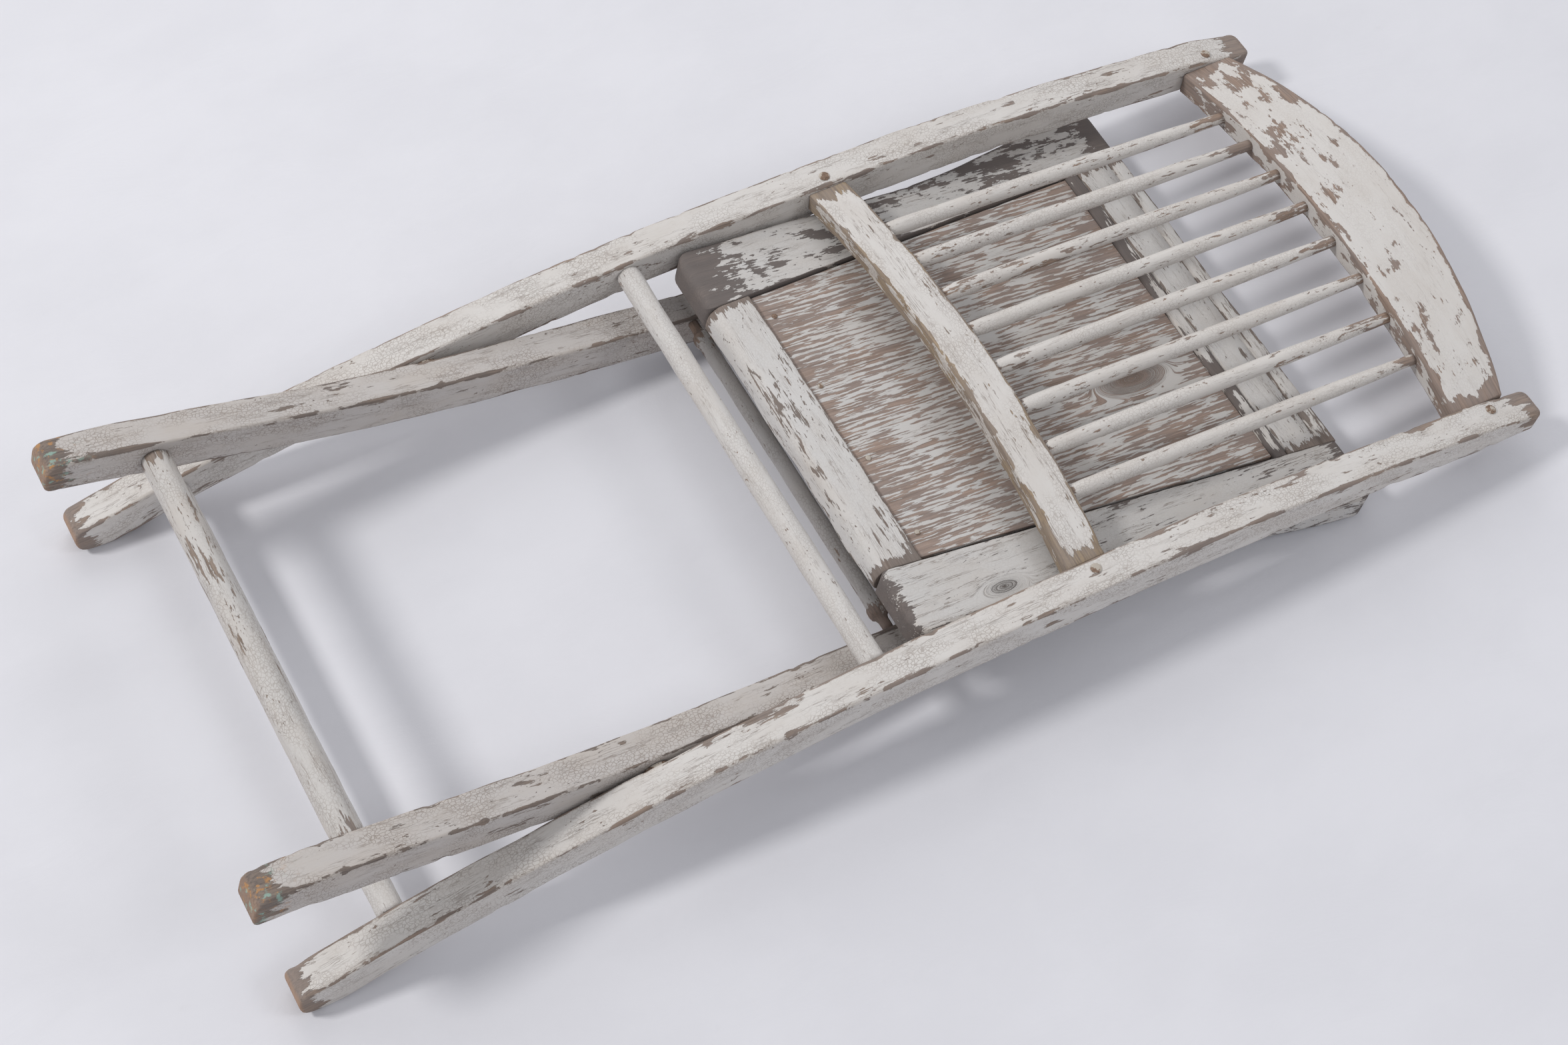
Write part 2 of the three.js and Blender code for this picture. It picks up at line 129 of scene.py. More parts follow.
def spline(points, t):
    """Uniform Catmull-Rom through the points, and its tangent, at t from 0 to 1."""
    p = [Vector(q) for q in points]
    whole = t * (len(p) - 1)
    i = min(int(whole), len(p) - 2)
    f = whole - i
    a, b, c, d = p[max(i - 1, 0)], p[i], p[i + 1], p[min(i + 2, len(p) - 1)]
    m0, m1 = (c - a) / 2, (d - b) / 2
    k3, k2 = 2 * b - 2 * c + m0 + m1, -3 * b + 3 * c - 2 * m0 - m1
    point = ((k3 * f + k2) * f + m0) * f + b
    tangent = (3 * k3 * f + 2 * k2) * f + m0
    return point, tangent.normalized()


# ---- mesh making ----------------------------------------------------------------------------
def ripple(x, y, z, size, seed=0.0):
    return noise.noise(Vector((x / size + seed * 7.3, y / size - seed * 3.1, z / size + seed)))


def build(name, rings, wear, grain, span):
    """A closed skin through rings of equal length, with the attributes the paint reads."""
    count = len(rings[0])
    coords = np.array(rings, float).reshape(-1, 3)
    faces = []
    for i in range(len(rings) - 1):
        for k in range(count):
            a, b = i * count + k, i * count + (k + 1) % count
            faces.append((a, b, b + count, a + count))
    faces.append(tuple(range(count))[::-1])
    faces.append(tuple(range((len(rings) - 1) * count, len(rings) * count)))
    mesh = bpy.data.meshes.new(name)
    mesh.from_pydata([tuple(p) for p in coords * MM], [], faces)
    for label, values in (("grain", grain), ("span", span)):
        data = mesh.attributes.new(label, "FLOAT_VECTOR", "POINT")
        data.data.foreach_set("vector", np.array(values, np.float32).ravel())
    data = mesh.attributes.new("wear", "FLOAT", "POINT")
    data.data.foreach_set("value", np.array(wear, np.float32).ravel())
    work = bmesh.new()
    work.from_mesh(mesh)
    bmesh.ops.recalc_face_normals(work, faces=work.faces)
    work.to_mesh(mesh)
    work.free()
    for polygon in mesh.polygons:
        polygon.use_smooth = len(polygon.vertices) == 4
    obj = bpy.data.objects.new(name, mesh)
    bpy.context.scene.collection.objects.link(obj)
    return obj


ARRIS = (0.25, 0.8, 1.0, 1.0, 0.8, 0.25)   # wear round a corner


def section(a0, a1, b0, b1, radii, top=(), faces=(0, 0, 0, 0), rubbed=(1, 1, 1, 1)):
    """A rounded rectangle, anticlockwise, as (a, b, wear); top lists (a, drop, wear) on its b1 side.

    faces is the least wear on the a1, b1, a0 and b0 sides; rubbed scales the wear of the corner before each."""
    out = []
    reach = 3.0
    corners = [(a1, b0, -1, 1, -90, radii[1]), (a1, b1, -1, -1, 0, radii[2]),
               (a0, b1, 1, -1, 90, radii[3]), (a0, b0, 1, 1, 180, radii[0])]
    limit = 0.49 * min(a1 - a0, b1 - b0)
    starts = []
    for index, (a, b, sa, sb, angle, radius) in enumerate(corners):
        r = max(0.05, min(radius, limit))
        arc = []
        for k in range(6):
            turn = math.radians(angle + 90 * k / 5)
            worn = ARRIS[k] * min(1.0, (5.5 / r) ** 2) * rubbed[index]
            worn = max(worn, faces[index] if k > 2 else faces[index - 1])
            arc.append((a + sa * r + r * math.cos(turn), b + sb * r + r * math.sin(turn), worn))
        starts.append(arc)
    for index, arc in enumerate(starts):
        out.extend(arc)
        following = starts[(index + 1) % 4]
        p, q = arc[-1], following[0]
        span = math.hypot(q[0] - p[0], q[1] - p[1])
        near = min(reach / max(span, 1e-6), 0.3)
        if index == 1 and top:
            out.extend((a, b1 - drop, worn) for a, drop, worn in top)
            continue
        for f, worn in ((near, 0.05), (0.5, 0.0), (1 - near, 0.05)):
            out.append((p[0] + (q[0] - p[0]) * f, p[1] + (q[1] - p[1]) * f, max(worn, faces[index])))
    return out


def sweep(name, at, stations, place, radii, seed, ends=(2.5, 2.5), reach=(25, 25), chips=1.0, top=(),
          wobble=0.22, faces=(0, 0, 0, 0), rubbed=(1, 1, 1, 1)):
    """Sections along a member: at(s) gives (a0, a1, b0, b1), place(s, a, b) gives the point."""
    first, last = stations[0], stations[-1]
    plan = []
    for k in range(5):
        t = math.pi / 2 * k / 5
        plan.append((first + ends[0] * (1 - math.cos(t)), ends[0] * (1 - math.sin(t)), 1 - k * 0.12))
    plan += [(s, 0.0, None) for s in stations if first + ends[0] < s < last - ends[1]]
    for k in reversed(range(5)):
        t = math.pi / 2 * k / 5
        plan.append((last - ends[1] * (1 - math.cos(t)), ends[1] * (1 - math.sin(t)), 1 - k * 0.12))
    rings, wear, grain, span = [], [], [], []
    for s, inset, worn_end in plan:
        a0, a1, b0, b1 = at(s)
        squeeze_a = min(inset, 0.45 * (a1 - a0))
        squeeze_b = min(inset, 0.45 * (b1 - b0))
        a0, a1, b0, b1 = a0 + squeeze_a, a1 - squeeze_a, b0 + squeeze_b, b1 - squeeze_b
        corner = []
        for index, radius in enumerate(radii):
            rub = 0.85 + 0.6 * ripple(s, index * 40, 0, 35, seed)
            chip = max(0.0, ripple(s, index * 90, 50, 9, seed) - 0.28) * 6 * chips
            corner.append(max(0.3, radius * rub + chip - inset * 0.6))
        ring = []
        middle_a, middle_b = (a0 + a1) / 2, (b0 + b1) / 2
        for a, b, worn in section(a0, a1, b0, b1, corner, top, faces(s) if callable(faces) else faces,
                                  rubbed):
            push = wobble * ripple(s, a, b, 28, seed) + wobble * 0.5 * ripple(s, a, b, 9, seed + 3)
            da, db = a - middle_a, b - middle_b
            size = math.hypot(da, db) or 1.0
            ring.append(place(s, a + push * da / size, b + push * db / size))
            wear.append(max(worn, worn_end or 0.0))
            grain.append((s + seed * 131.0, a + seed * 57.0, b - seed * 91.0))
            span.append(((s - first) / reach[0], (last - s) / reach[1], seed))
        rings.append(ring)
    return build(name, rings, wear, grain, span)


def turned(name, a, b, profile, seed, sides=28, step=4.0, reach=(25, 25), wobble=0.2, flats=0.0):
    """A round bar from a to b (mm); profile lists (distance, radius)."""
    start, end = Vector(a), Vector(b)
    axis = (end - start).normalized()
    side = axis.orthogonal().normalized()
    other = axis.cross(side)
    length = (end - start).length
    marks = []
    for (d0, r0), (d1, r1) in zip(profile, profile[1:]):
        parts = max(1, int(abs(d1 - d0) / step))
        marks += [(d0 + (d1 - d0) * k / parts, r0 + (r1 - r0) * k / parts) for k in range(parts)]
    marks.append(profile[-1])
    rings, wear, grain, span = [], [], [], []
    for d, r in marks:
        ring = []
        for k in range(sides):
            turn = 2 * math.pi * k / sides
            c, s = math.cos(turn), math.sin(turn)
            bump = wobble * ripple(d, c * r * 2, s * r * 2, 26, seed)
            bump += 0.4 * wobble * ripple(d, c * r * 3, s * r * 3, 7, seed + 5)
            bump -= flats * (0.5 + 0.5 * math.cos(6 * turn + seed)) * r * 0.03
            grow = min(r, r + bump) if r > 0.2 else r
            ring.append(tuple(start + axis * d + side * (c * grow) + other * (s * grow)))
            wear.append(0.0)
            grain.append((d + seed * 131.0, c * r + seed * 57.0, s * r - seed * 91.0))
            span.append((d / reach[0], (length - d) / reach[1], seed))
        rings.append(ring)
    return build(name, rings, wear, grain, span)


def steps(low, high, step):
    count = max(2, int(round((high - low) / step)))
    return [low + (high - low) * i / count for i in range(count + 1)]


# ---- materials ------------------------------------------------------------------------------
class Tree:
    """Short names for the shader nodes the paints are made of."""

    def __init__(self, name):
        self.material = bpy.data.materials.new(name)
        self.material.use_nodes = True
        self.tree = self.material.node_tree
        self.shader = self.tree.nodes["Principled BSDF"]

    def put(self, socket, value):
        if isinstance(value, bpy.types.NodeSocket):
            self.tree.links.new(value, socket)
        elif isinstance(value, tuple) and len(value) == 3 and len(socket.default_value) == 4:
            socket.default_value = (*value, 1.0)
        else:
            socket.default_value = value

    def node(self, kind, inputs, out=0, **props):
        made = self.tree.nodes.new(kind)
        for key, value in props.items():
            setattr(made, key, value)
        for key, value in inputs.items():
            self.put(made.inputs[key], value)
        return made.outputs[out]

    def attribute(self, name, out="Vector"):
        return self.node("ShaderNodeAttribute", {}, out, attribute_name=name)

    def math(self, op, a, b=0.0, c=None, clamp=False):
        inputs = {0: a, 1: b}
        if c is not None:
            inputs[2] = c
        return self.node("ShaderNodeMath", inputs, operation=op, use_clamp=clamp)

    def scaled(self, vector, scale):
        return self.node("ShaderNodeVectorMath", {0: vector, 1: scale}, operation="MULTIPLY")

    def stretch(self, vector, along, across):
        return self.scaled(vector, (1 / along, 1 / across, 1 / across))

    def noise(self, vector, detail=4.0, rough=0.55, twist=0.0, out=0):
        return self.node("ShaderNodeTexNoise", {"Vector": vector, "Scale": 1.0, "Detail": detail,
                                                "Roughness": rough, "Distortion": twist}, out)

    def smooth(self, value, low, high, to_low=0.0, to_high=1.0):
        return self.node("ShaderNodeMapRange", {"Value": value, "From Min": low, "From Max": high,
                                                "To Min": to_low, "To Max": to_high},
                         interpolation_type="SMOOTHSTEP")

    def mix(self, factor, a, b, blend="MIX"):
        made = self.tree.nodes.new("ShaderNodeMix")
        made.data_type = "RGBA"
        made.blend_type = blend
        self.put(made.inputs["Factor"], factor)
        self.put(made.inputs[MIX_A], a)
        self.put(made.inputs[MIX_B], b)
        return made.outputs[MIX_RESULT]

    def ramp(self, value, stops):
        made = self.tree.nodes.new("ShaderNodeValToRGB")
        elements = made.color_ramp.elements
        while len(elements) < len(stops):
            elements.new(0.5)
        for element, (position, color) in zip(elements, stops):
            element.position = position
            element.color = (*color, 1.0)
        self.put(made.inputs[0], value)
        return made.outputs[0]


BASE = dict(paint=(0.655, 0.63, 0.605), dirt_and_gap_shade=(0.49, 0.43, 0.375), wood=(0.33, 0.245, 0.195),
            wood_dark=(0.17, 0.125, 0.10), grey=(0.255, 0.22, 0.205), greyness=0.6, bare=0.40,
            patch=(34.0, 8.0), streak=0.25, streak_size=(18.0, 1.5), edge=0.30, ends=0.35, crackle=0.5,
            cell=2.2, hair=0.5, stain=0.25, rough=0.62, relief=1.0, speck=0.12, blotch=0.35, flakes=0.16,
            end_tint=0.0, traces=0.0, streak_detail=5.0, knot=None)


def aged(name, **changes):
    """Old paint over grained wood: flaked patches, crazing, hairline cracks and rubbed edges."""
    p = dict(BASE, **changes)
    t = Tree(name)
    grain = t.attribute("grain")
    if p["knot"]:
        grain, core = knotted(t, grain, p["knot"])
    shake = t.noise(t.stretch(grain, 14, 6), 3, 0.6, out=1)
    shake = t.node("ShaderNodeVectorMath", {0: shake, 1: (0.5, 0.5, 0.5)}, operation="SUBTRACT")
    bent = t.node("ShaderNodeVectorMath", {0: shake, 1: (6.0, 1.6, 1.6), 2: grain}, operation="MULTIPLY_ADD")

    patches = t.noise(t.stretch(bent, *p["patch"]), 9, 0.62)
    streaks = t.noise(t.stretch(bent, *p["streak_size"]), p["streak_detail"], 0.5)
    broad = t.noise(t.stretch(grain, 90, 40), 2, 0.5)
    value = t.math("MULTIPLY", patches, 1 - p["streak"])
    value = t.math("MULTIPLY_ADD", streaks, p["streak"], value)
    value = t.math("MULTIPLY_ADD", t.math("SUBTRACT", broad, 0.5), p["blotch"], value)
    wear = t.attribute("wear", "Fac")
    rub = t.smooth(t.noise(t.stretch(grain, 18, 14), 4, 0.6), 0.3, 0.7, 0.4, 1.35)
    value = t.math("SUBTRACT", value, t.math("MULTIPLY", t.math("MULTIPLY", wear, rub), p["edge"]))
    if p["knot"]:
        value = t.math("SUBTRACT", value, t.smooth(core, 0.1, 0.7, 0.0, 0.10))
    ends = t.node("ShaderNodeSeparateXYZ", {0: t.attribute("span")}, 0)
    ends_far = t.node("ShaderNodeSeparateXYZ", {0: t.attribute("span")}, 1)
    cap = t.math("MINIMUM", ends, ends_far)
    near_end = t.math("MULTIPLY_ADD", t.math("SUBTRACT", patches, 0.5), 2.2, cap)
    value = t.math("SUBTRACT", value, t.smooth(near_end, 0.25, 1.1, p["ends"], 0.0))
    flake = t.noise(t.stretch(bent, 4.5, 1.9), 4, 0.55)
    flaked = t.smooth(t.noise(t.stretch(grain, 60, 16), 3, 0.6), 0.45, 0.62, 0.0, p["flakes"])
    value = t.math("SUBTRACT", value, t.math("MULTIPLY", t.smooth(flake, 0.60, 0.70), flaked))
    painted = t.smooth(value, p["bare"] - 0.012, p["bare"] + 0.012)
    lip = t.smooth(value, p["bare"] - 0.03, p["bare"] + 0.05)

    cell_place = t.stretch(bent, p["cell"] * 1.3, p["cell"])
    cells = t.node("ShaderNodeTexVoronoi", {"Vector": cell_place, "Scale": 1.0}, "Distance",
                   feature="DISTANCE_TO_EDGE")
    crazed = t.smooth(t.noise(t.stretch(grain, 45, 20), 3, 0.55), 0.38, 0.60)
    craze = t.math("MULTIPLY", t.smooth(cells, 0.02, 0.11, 1.0, 0.0), crazed)
    craze = t.math("MULTIPLY", craze, p["crackle"])
    lines = t.noise(t.stretch(bent, 30, 1.5), 3, 0.5)
    lines = t.smooth(t.math("ABSOLUTE", t.math("SUBTRACT", lines, 0.5)), 0.006, 0.03, 1.0, 0.0)
    lined = t.smooth(t.noise(t.stretch(grain, 40, 7), 3, 0.55), 0.46, 0.62)
    hair = t.math("MULTIPLY", t.math("MULTIPLY", lines, lined), p["hair"])
    cracks = t.math("MAXIMUM", craze, hair)

    tone = t.noise(t.stretch(grain, 55, 22), 4, 0.6)
    fine = t.noise(t.stretch(grain, 2.5, 1.1), 3, 0.6)
    paint = t.mix(t.smooth(tone, 0.38, 0.72, 0.0, p["stain"]), p["paint"], p["dirt_and_gap_shade"])
    paint = t.mix(t.smooth(fine, 0.52, 0.75, 0.0, p["speck"]), paint, p["dirt_and_gap_shade"])
    paint = t.mix(t.smooth(wear, 0.0, 1.0, 0.0, 0.35), paint, p["dirt_and_gap_shade"])
    paint = t.mix(t.math("MULTIPLY", cracks, 0.75), paint, (0.20, 0.15, 0.12))
    rings = t.noise(t.stretch(bent, 60, 1.3), 6, 0.6)
    wood_light = tuple(min(1, c * 1.35) for c in p["wood"])
    wood = t.ramp(rings, [(0.30, p["wood_dark"]), (0.52, p["wood"]), (0.72, wood_light)])
    least_grey = max(0.0, 2 * p["greyness"] - 1)
    weather = t.smooth(t.noise(t.stretch(grain, 38, 14), 4, 0.6), 0.35, 0.62, least_grey, 1.0)
    wood = t.mix(t.math("MULTIPLY", weather, p["greyness"]), wood, p["grey"])
    wood = t.mix(t.smooth(cap, 0.02, 0.22, p["end_tint"], 0.0), wood, (0.46, 0.28, 0.18))
    for size, tint in ((9.0, (0.30, 0.46, 0.40)), (7.0, (0.50, 0.26, 0.10))) if p["traces"] else ():
        spot = t.smooth(t.noise(t.stretch(grain, size, size * 0.7), 5, 0.6), 0.56, 0.66)
        spot = t.math("MULTIPLY", spot, t.smooth(ends, 0.6, 2.0, 0.75 * p["traces"], 0.0))
        wood = t.mix(spot, wood, tint)
        paint = t.mix(t.math("MULTIPLY", spot, 0.4), paint, tint)
    if p["knot"]:
        wood = t.mix(t.smooth(core, 0.35, 0.85, 0.0, 0.6), wood, p["wood_dark"])
    color = t.mix(painted, wood, paint)

    height = t.math("MULTIPLY", painted, 0.16)
    height = t.math("MULTIPLY_ADD", lip, 0.05, height)
    height = t.math("SUBTRACT", height, t.math("MULTIPLY", cracks, 0.13))
    height = t.math("MULTIPLY_ADD", rings, 0.16, height)
    height = t.math("MULTIPLY_ADD", fine, 0.05, height)
    height = t.math("MULTIPLY_ADD", tone, 0.25, height)
    bump = t.node("ShaderNodeBump", {"Strength": 0.9 * p["relief"], "Distance": MM, "Height": height})
    t.put(t.shader.inputs["Base Color"], color)
    sheen = t.math("ADD", painted, t.math("MULTIPLY", fine, 0.3))
    t.put(t.shader.inputs["Roughness"], t.smooth(sheen, 0.0, 1.3, 0.9, p["rough"]))
    t.put(t.shader.inputs["Normal"], bump)
    t.shader.inputs["Specular IOR Level"].default_value = 0.3
    return t.material


def knotted(t, grain, knots):
    """Bends the grain round each knot (along, across, size), in the grain's own millimetres."""
    for along, across, size in knots:
        x = t.node("ShaderNodeSeparateXYZ", {0: grain}, 0)
        y = t.node("ShaderNodeSeparateXYZ", {0: grain}, 1)
        z = t.node("ShaderNodeSeparateXYZ", {0: grain}, 2)
        dx = t.math("DIVIDE", t.math("SUBTRACT", x, along), size * 2.4)
        dy = t.math("DIVIDE", t.math("SUBTRACT", y, across), size)
        near = t.math("ADD", t.math("MULTIPLY", dx, dx), t.math("MULTIPLY", dy, dy))
        fade = t.math("EXPONENT", t.math("MULTIPLY", near, -1.0))
        ring = t.math("MULTIPLY", t.math("SQRT", t.math("ADD", near, 0.01)), size * 1.1)
        straight = t.math("MULTIPLY", y, t.math("SUBTRACT", 1.0, fade))
        y = t.math("ADD", straight, t.math("MULTIPLY", ring, fade))
        x = t.math("MULTIPLY_ADD", t.math("SUBTRACT", along, x), t.math("MULTIPLY", fade, 0.9), x)
        grain = t.node("ShaderNodeCombineXYZ", {0: x, 1: y, 2: z})
    return grain, fade


def rusty(name, light=(0.34, 0.23, 0.165), dark=(0.13, 0.085, 0.06), paint=0.45):
    t = Tree(name)
    place = t.scaled(t.node("ShaderNodeTexCoord", {}, "Object"), (1000.0, 1000.0, 1000.0))
    large = t.noise(t.scaled(place, (0.16, 0.16, 0.16)), 5, 0.65)
    small = t.noise(t.scaled(place, (0.9, 0.9, 0.9)), 5, 0.6)
    blend = t.math("MULTIPLY_ADD", small, 0.5, t.math("MULTIPLY", large, 0.5))
    color = t.ramp(blend, [(0.35, dark), (0.62, light)])
    left = t.smooth(large, 0.62 - 0.3 * paint, 0.66 - 0.3 * paint)
    color = t.mix(left, color, (0.48, 0.43, 0.37))
    height = t.math("MULTIPLY_ADD", small, 0.25, t.math("MULTIPLY", left, 0.1))
    t.put(t.shader.inputs["Base Color"], color)
    t.put(t.shader.inputs["Roughness"], t.smooth(small, 0.3, 0.7, 0.9, 0.6))
    bump = t.node("ShaderNodeBump", {"Strength": 0.8, "Distance": MM, "Height": height})
    t.put(t.shader.inputs["Normal"], bump)
    t.shader.inputs["Metallic"].default_value = 0.15
    return t.material


NEAR_SEED, PANEL_SEED = 10.4, 19.0
# A knot's place is (along, across, size) in the grain coordinates, which a piece's seed shifts.
NEAR_KNOT = (NEAR_SEED * 131.0 + 36.0, NEAR_SEED * 57.0 - 165.0, 4.0)
PANEL_KNOT = (PANEL_SEED * 131.0 + 226.0, PANEL_SEED * 57.0 - 42.0, 6.5)
BROWN = dict(wood=(0.31, 0.22, 0.165), wood_dark=(0.15, 0.105, 0.08), greyness=0.6)
SLATE = dict(greyness=0.9, grey=(0.145, 0.128, 0.122), wood=(0.24, 0.19, 0.165),
             wood_dark=(0.12, 0.097, 0.087))
DULL_PAINT = (0.57, 0.555, 0.54)
M = {
    "stile": aged("stile_paint", crackle=0.6, bare=0.37, edge=0.185, hair=0.8, ends=0.30, end_tint=0.55,
                  wood=(0.29, 0.22, 0.175), wood_dark=(0.14, 0.11, 0.09)),
    "leg": aged("leg_paint", crackle=0.75, bare=0.37, edge=0.18, hair=0.8, stain=0.4, traces=1.0,
                paint=(0.53, 0.50, 0.48), end_tint=0.35, grey=(0.16, 0.14, 0.13), wood=(0.25, 0.195, 0.16),
                wood_dark=(0.11, 0.09, 0.08)),
    "crest": aged("crest_paint", crackle=0.15, bare=0.385, edge=0.36, hair=0.3, patch=(22, 10), flakes=0.2,
                  streak=0.15, wood=(0.30, 0.22, 0.175), greyness=0.55, relief=0.8),
    "rail": aged("lower_rail_paint", crackle=0.45, bare=0.385, edge=0.26, hair=0.8, streak=0.35,
                 wood=(0.33, 0.25, 0.165)),
    "spindle": aged("spindle_paint", crackle=0.35, bare=0.395, hair=0.45, patch=(18, 4), ends=0.16,
                    flakes=0.28, paint=(0.65, 0.62, 0.59), relief=0.9, **BROWN),
    "stretcher": aged("stretcher_paint", crackle=0.35, cell=2.0, bare=0.37, hair=0.5, patch=(20, 5),
                      ends=0.05, paint=(0.62, 0.60, 0.58), speck=0.1, flakes=0.26),
    "foot_stretcher": aged("foot_stretcher_paint", crackle=0.5, bare=0.405, hair=0.8, patch=(26, 4),
                           ends=0.12, paint=(0.56, 0.54, 0.52), flakes=0.3, stain=0.4,
                           wood=(0.27, 0.21, 0.165), wood_dark=(0.12, 0.09, 0.075)),
    "seat_rail": aged("seat_rail_paint", crackle=0.15, bare=0.405, edge=0.12, hair=0.7, streak=0.45,
                      patch=(18, 5), paint=(0.62, 0.605, 0.59), flakes=0.3, ends=0.2,
                      wood=(0.25, 0.20, 0.17), greyness=0.7, grey=(0.19, 0.165, 0.15)),
    "seat_far": aged("far_side_rail_paint", crackle=0.15, bare=0.46, edge=0.1, hair=0.6, streak=0.3,
                     ends=0.3, patch=(17, 7), paint=DULL_PAINT, flakes=0.2, blotch=0.7, **SLATE),
    "seat_near": aged("near_side_rail_paint", crackle=0.15, bare=0.395, edge=0.12, hair=1.0, streak=0.55,
                      ends=0.16, patch=(17, 7), streak_size=(15, 1.3), paint=DULL_PAINT, flakes=0.16,
                      knot=[NEAR_KNOT], **SLATE),
    "bead": aged("bead_paint", crackle=0.1, bare=0.50, hair=0.5, edge=0.05, **SLATE),
    "hidden": aged("bare_wood", bare=0.75, crackle=0, hair=0, greyness=0.8),
    # The rod's paint is a greyer, darker copy of the white paint: painted shade for the rod's place under the
    # seat.
    "rod": aged("rod_paint_darkened_as_shade", bare=0.38, ends=0.5, patch=(20, 6), paint=(0.55, 0.53, 0.51), **BROWN),
    # Near-black wood tone for the strips down in the gaps beside the seat panel: painted shade, standing for
    # the shadow in those gaps.
    "painted_gap_shade": aged("gap_shadow_strip", bare=2.0, crackle=0, hair=0, greyness=0.9, grey=(0.030, 0.027, 0.026),
                  wood=(0.05, 0.042, 0.037), wood_dark=(0.02, 0.018, 0.016)),
    "rust": rusty("rusty_iron"),
    "panel": aged("panel_paint", crackle=0.0, bare=0.499, edge=0.05, hair=0.5, streak=0.82,
                  streak_size=(25.0, 2.1), streak_detail=3.5, patch=(50, 12), ends=0.06, greyness=0.6,
                  wood=(0.33, 0.245, 0.20), wood_dark=(0.17, 0.125, 0.10), grey=(0.26, 0.22, 0.205),
                  paint=DULL_PAINT, blotch=0.22, flakes=0.0, relief=0.9, knot=[PANEL_KNOT]),
}


def show(obj, node, body, material):
    obj.data.materials.append(M[material])
    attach(obj, body)
    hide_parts(node)
    return obj


def at_row(x, y, z):
    return (x - ORIGIN_X, y, z)


# ---- back frame -----------------------------------------------------------------------------
def bar_table(line, depth_at, count=400):
    table = []
    run = 0.0
    before = None
    for i in range(count + 1):
        point, tangent = spline(line, i / count)
        if before is not None:
            run += (point - before).length
        before = point
        table.append((run, point.x, point.y, tangent.x, tangent.y, depth_at(point.x)))
    return np.array(table)


def on_table(table, s):
    return [float(np.interp(s, table[:, 0], table[:, k])) for k in range(1, 6)]


def stile_depth(x):
    foot = STILE_FOOT_DEPTH + (STILE_DEPTH - STILE_FOOT_DEPTH) * ease(x, -8, 32)
    neck = foot - (STILE_DEPTH - STILE_NECK_DEPTH) * ease(x, 650, 980)
    return neck - (STILE_NECK_DEPTH - STILE_TIP_DEPTH) * ease(x, 920, LENGTH - STILE_TIP_DEPTH / 2)


def leg_depth(x):
    return LEG_END_DEPTH + (LEG_DEPTH - LEG_END_DEPTH) * ease(x, -10, 50)


def bent_bar(name, line, depth_at, middle_y, width, seed, foot, tip=11.0, **kw):
    """A bar along a curved line, its far end rounded to a nose; foot = (upper, lower) end radii."""
    table = bar_table(line, depth_at)
    run = table[-1, 0]
    nose = depth_at(line[-1][0]) / 2
    total = run + nose

    def at(s):
        half = on_table(table, min(s, run))[4] / 2
        low, high = -half, half
        if s > run:
            high = math.sqrt(max(nose * nose - (s - run) ** 2, 0.3))
            low = -high
        upper, lower = foot
        if s < upper:
            high -= upper - math.sqrt(upper * upper - (upper - s) ** 2)
        if s < lower:
            low += lower - math.sqrt(lower * lower - (lower - s) ** 2)
        side = width / 2
        if s > total - tip:
            side -= tip - math.sqrt(max(tip * tip - (s - total + tip) ** 2, 0.0))
        return -side, side, low, high

    def place(s, a, b):
        x, z, tx, tz, _ = on_table(table, min(s, run))
        past = max(0.0, s - run)
        px, pz = x + tx * past - tz * b, z + tz * past + tx * b
        return at_row(px, middle_y(px) + a, pz)

    marks = [s for s in steps(0, 16, 1.6)] + steps(18, run - 2, 4.0)
    marks += [run + nose * math.sin(math.pi / 2 * k / 13) for k in range(14)]
    return sweep(name, at, marks, place, (2.8, 2.8, 2.8, 2.8), seed, ends=(2.0, 0.8), **kw)


for word, side, seed in (("left", 1, 2.0), ("right", -1, 5.0)):
    middle = side * (STILE_OUTER - STILE_WIDTH / 2)
    stile = bent_bar(f"shown_stile_{word}", STILE_LINE, stile_depth, lambda x, m=middle: m, STILE_WIDTH, seed,
                     foot=(7.0, 8.0), reach=(15, 25))
    show(stile, f"stile_{word}", "back_frame", "stile")
    leg = bent_bar(f"shown_leg_{word}", LEG_LINE, leg_depth,
                   lambda x, s=side: s * (leg_outer(x) - LEG_WIDTH / 2), LEG_WIDTH, seed + 1.3,
                   foot=(10.0, 6.0), reach=(20, 16))
    show(leg, f"leg_{word}", "leg_frame", "leg")

HALF = STILE_INNER - GAP
crest = sweep("shown_crest_rail", lambda s: (CREST_EDGE, crest_edge(s), -CREST_THICK / 2, CREST_THICK / 2),
              steps(-HALF, HALF, 4), lambda s, a, b: at_row(a, s, crest_z(s) + b), (2.5, 8.0, 3.0, 2.6), 7.0,
              ends=(1.0, 1.0), reach=(12, 12),
              faces=lambda s: (0.6, 0.28 * ease(s, -60, 150), 0.37, 0.3), rubbed=(1, 2.5, 1, 1))
show(crest, "crest_rail", "back_frame", "crest")
lower = sweep("shown_lower_back_rail",
              lambda s: (lower_rail_x(s) - RAIL_WIDTH / 2, lower_rail_x(s) + RAIL_WIDTH / 2,
                         -RAIL_THICK / 2, RAIL_THICK / 2),
              steps(-HALF, HALF, 4), lambda s, a, b: at_row(a, s, lower_rail_z(s) + b),
              (2.5, 2.5, 3.4, 2.8), 8.0, ends=(1.0, 1.0), reach=(14, 14), faces=(0.2, 0, 0.55, 0.2))
show(lower, "lower_back_rail", "back_frame", "rail")

